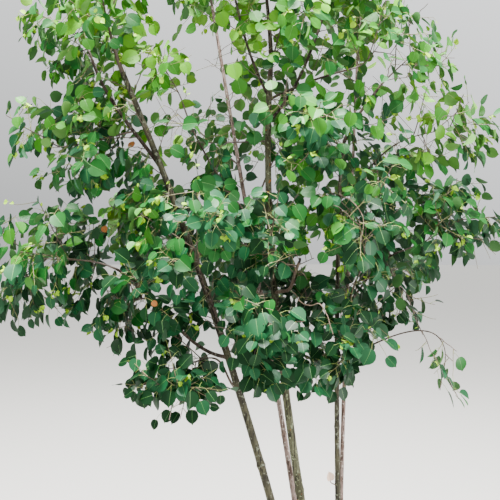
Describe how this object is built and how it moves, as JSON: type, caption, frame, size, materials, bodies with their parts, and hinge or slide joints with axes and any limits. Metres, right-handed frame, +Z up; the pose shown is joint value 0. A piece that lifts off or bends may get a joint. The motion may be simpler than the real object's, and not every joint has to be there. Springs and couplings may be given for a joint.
{
  "type": "young multi-stem poplar tree",
  "caption": "Young poplar growing as a clump: slender stems from one root crown fork into boughs that carry separate masses of broad summer leaves.",
  "frame": {"origin": "middle of the root crown's flat cut at ground level", "axes": "+Z up, -Y towards the viewer of the picture, +X to the viewer's right"},
  "size_m": [1.6965, 1.08, 2.8802],
  "materials": {
    "bark": "matte",
    "pale_bark": "matte",
    "foliage": "satin"
  },
  "bodies": {
    "root": {"root_crown": "bark", "stem_left": "bark", "stem_pale": "pale_bark", "stem_centre": "bark", "stem_right": "bark", "stem_thin": "pale_bark", "leader_left": "bark", "bough_left": "bark", "bough_left_low": "bark", "bough_left_inner": "bark", "bough_back_left": "bark", "bough_back": "bark", "bough_back_low": "bark", "bough_open": "bark", "bough_front": "bark", "leader_centre": "bark", "leader_centre_left": "bark", "leader_centre_right": "bark", "bough_centre_right": "bark", "bough_right_low": "bark", "leader_right": "bark", "bough_right": "bark", "bough_right_high": "bark", "bough_back_right": "bark", "twig_drooping": "bark", "foliage_top": "foliage", "foliage_top_left": "foliage", "foliage_top_right": "foliage", "foliage_pale_top": "foliage", "foliage_left_top": "foliage", "foliage_left_fork": "foliage", "foliage_left_high": "foliage", "foliage_open": "foliage", "foliage_level": "foliage", "foliage_left": "foliage", "foliage_left_under": "foliage", "foliage_left_mid": "foliage", "foliage_left_inner": "foliage", "foliage_left_low": "foliage", "foliage_centre": "foliage", "foliage_front": "foliage", "foliage_right_inner": "foliage", "foliage_right_low": "foliage", "foliage_right_mid": "foliage", "foliage_right": "foliage", "foliage_right_high": "foliage", "foliage_right_under": "foliage", "foliage_centre_right": "foliage", "foliage_upper_right": "foliage", "foliage_leader_right": "foliage", "foliage_thin_top": "foliage", "foliage_back_left": "foliage", "foliage_back_high": "foliage", "foliage_back": "foliage", "foliage_back_low": "foliage", "foliage_back_right": "foliage", "foliage_back_right_high": "foliage", "foliage_drooping": "foliage", "foliage_top_centre": "foliage"}
  },
  "joints": []
}
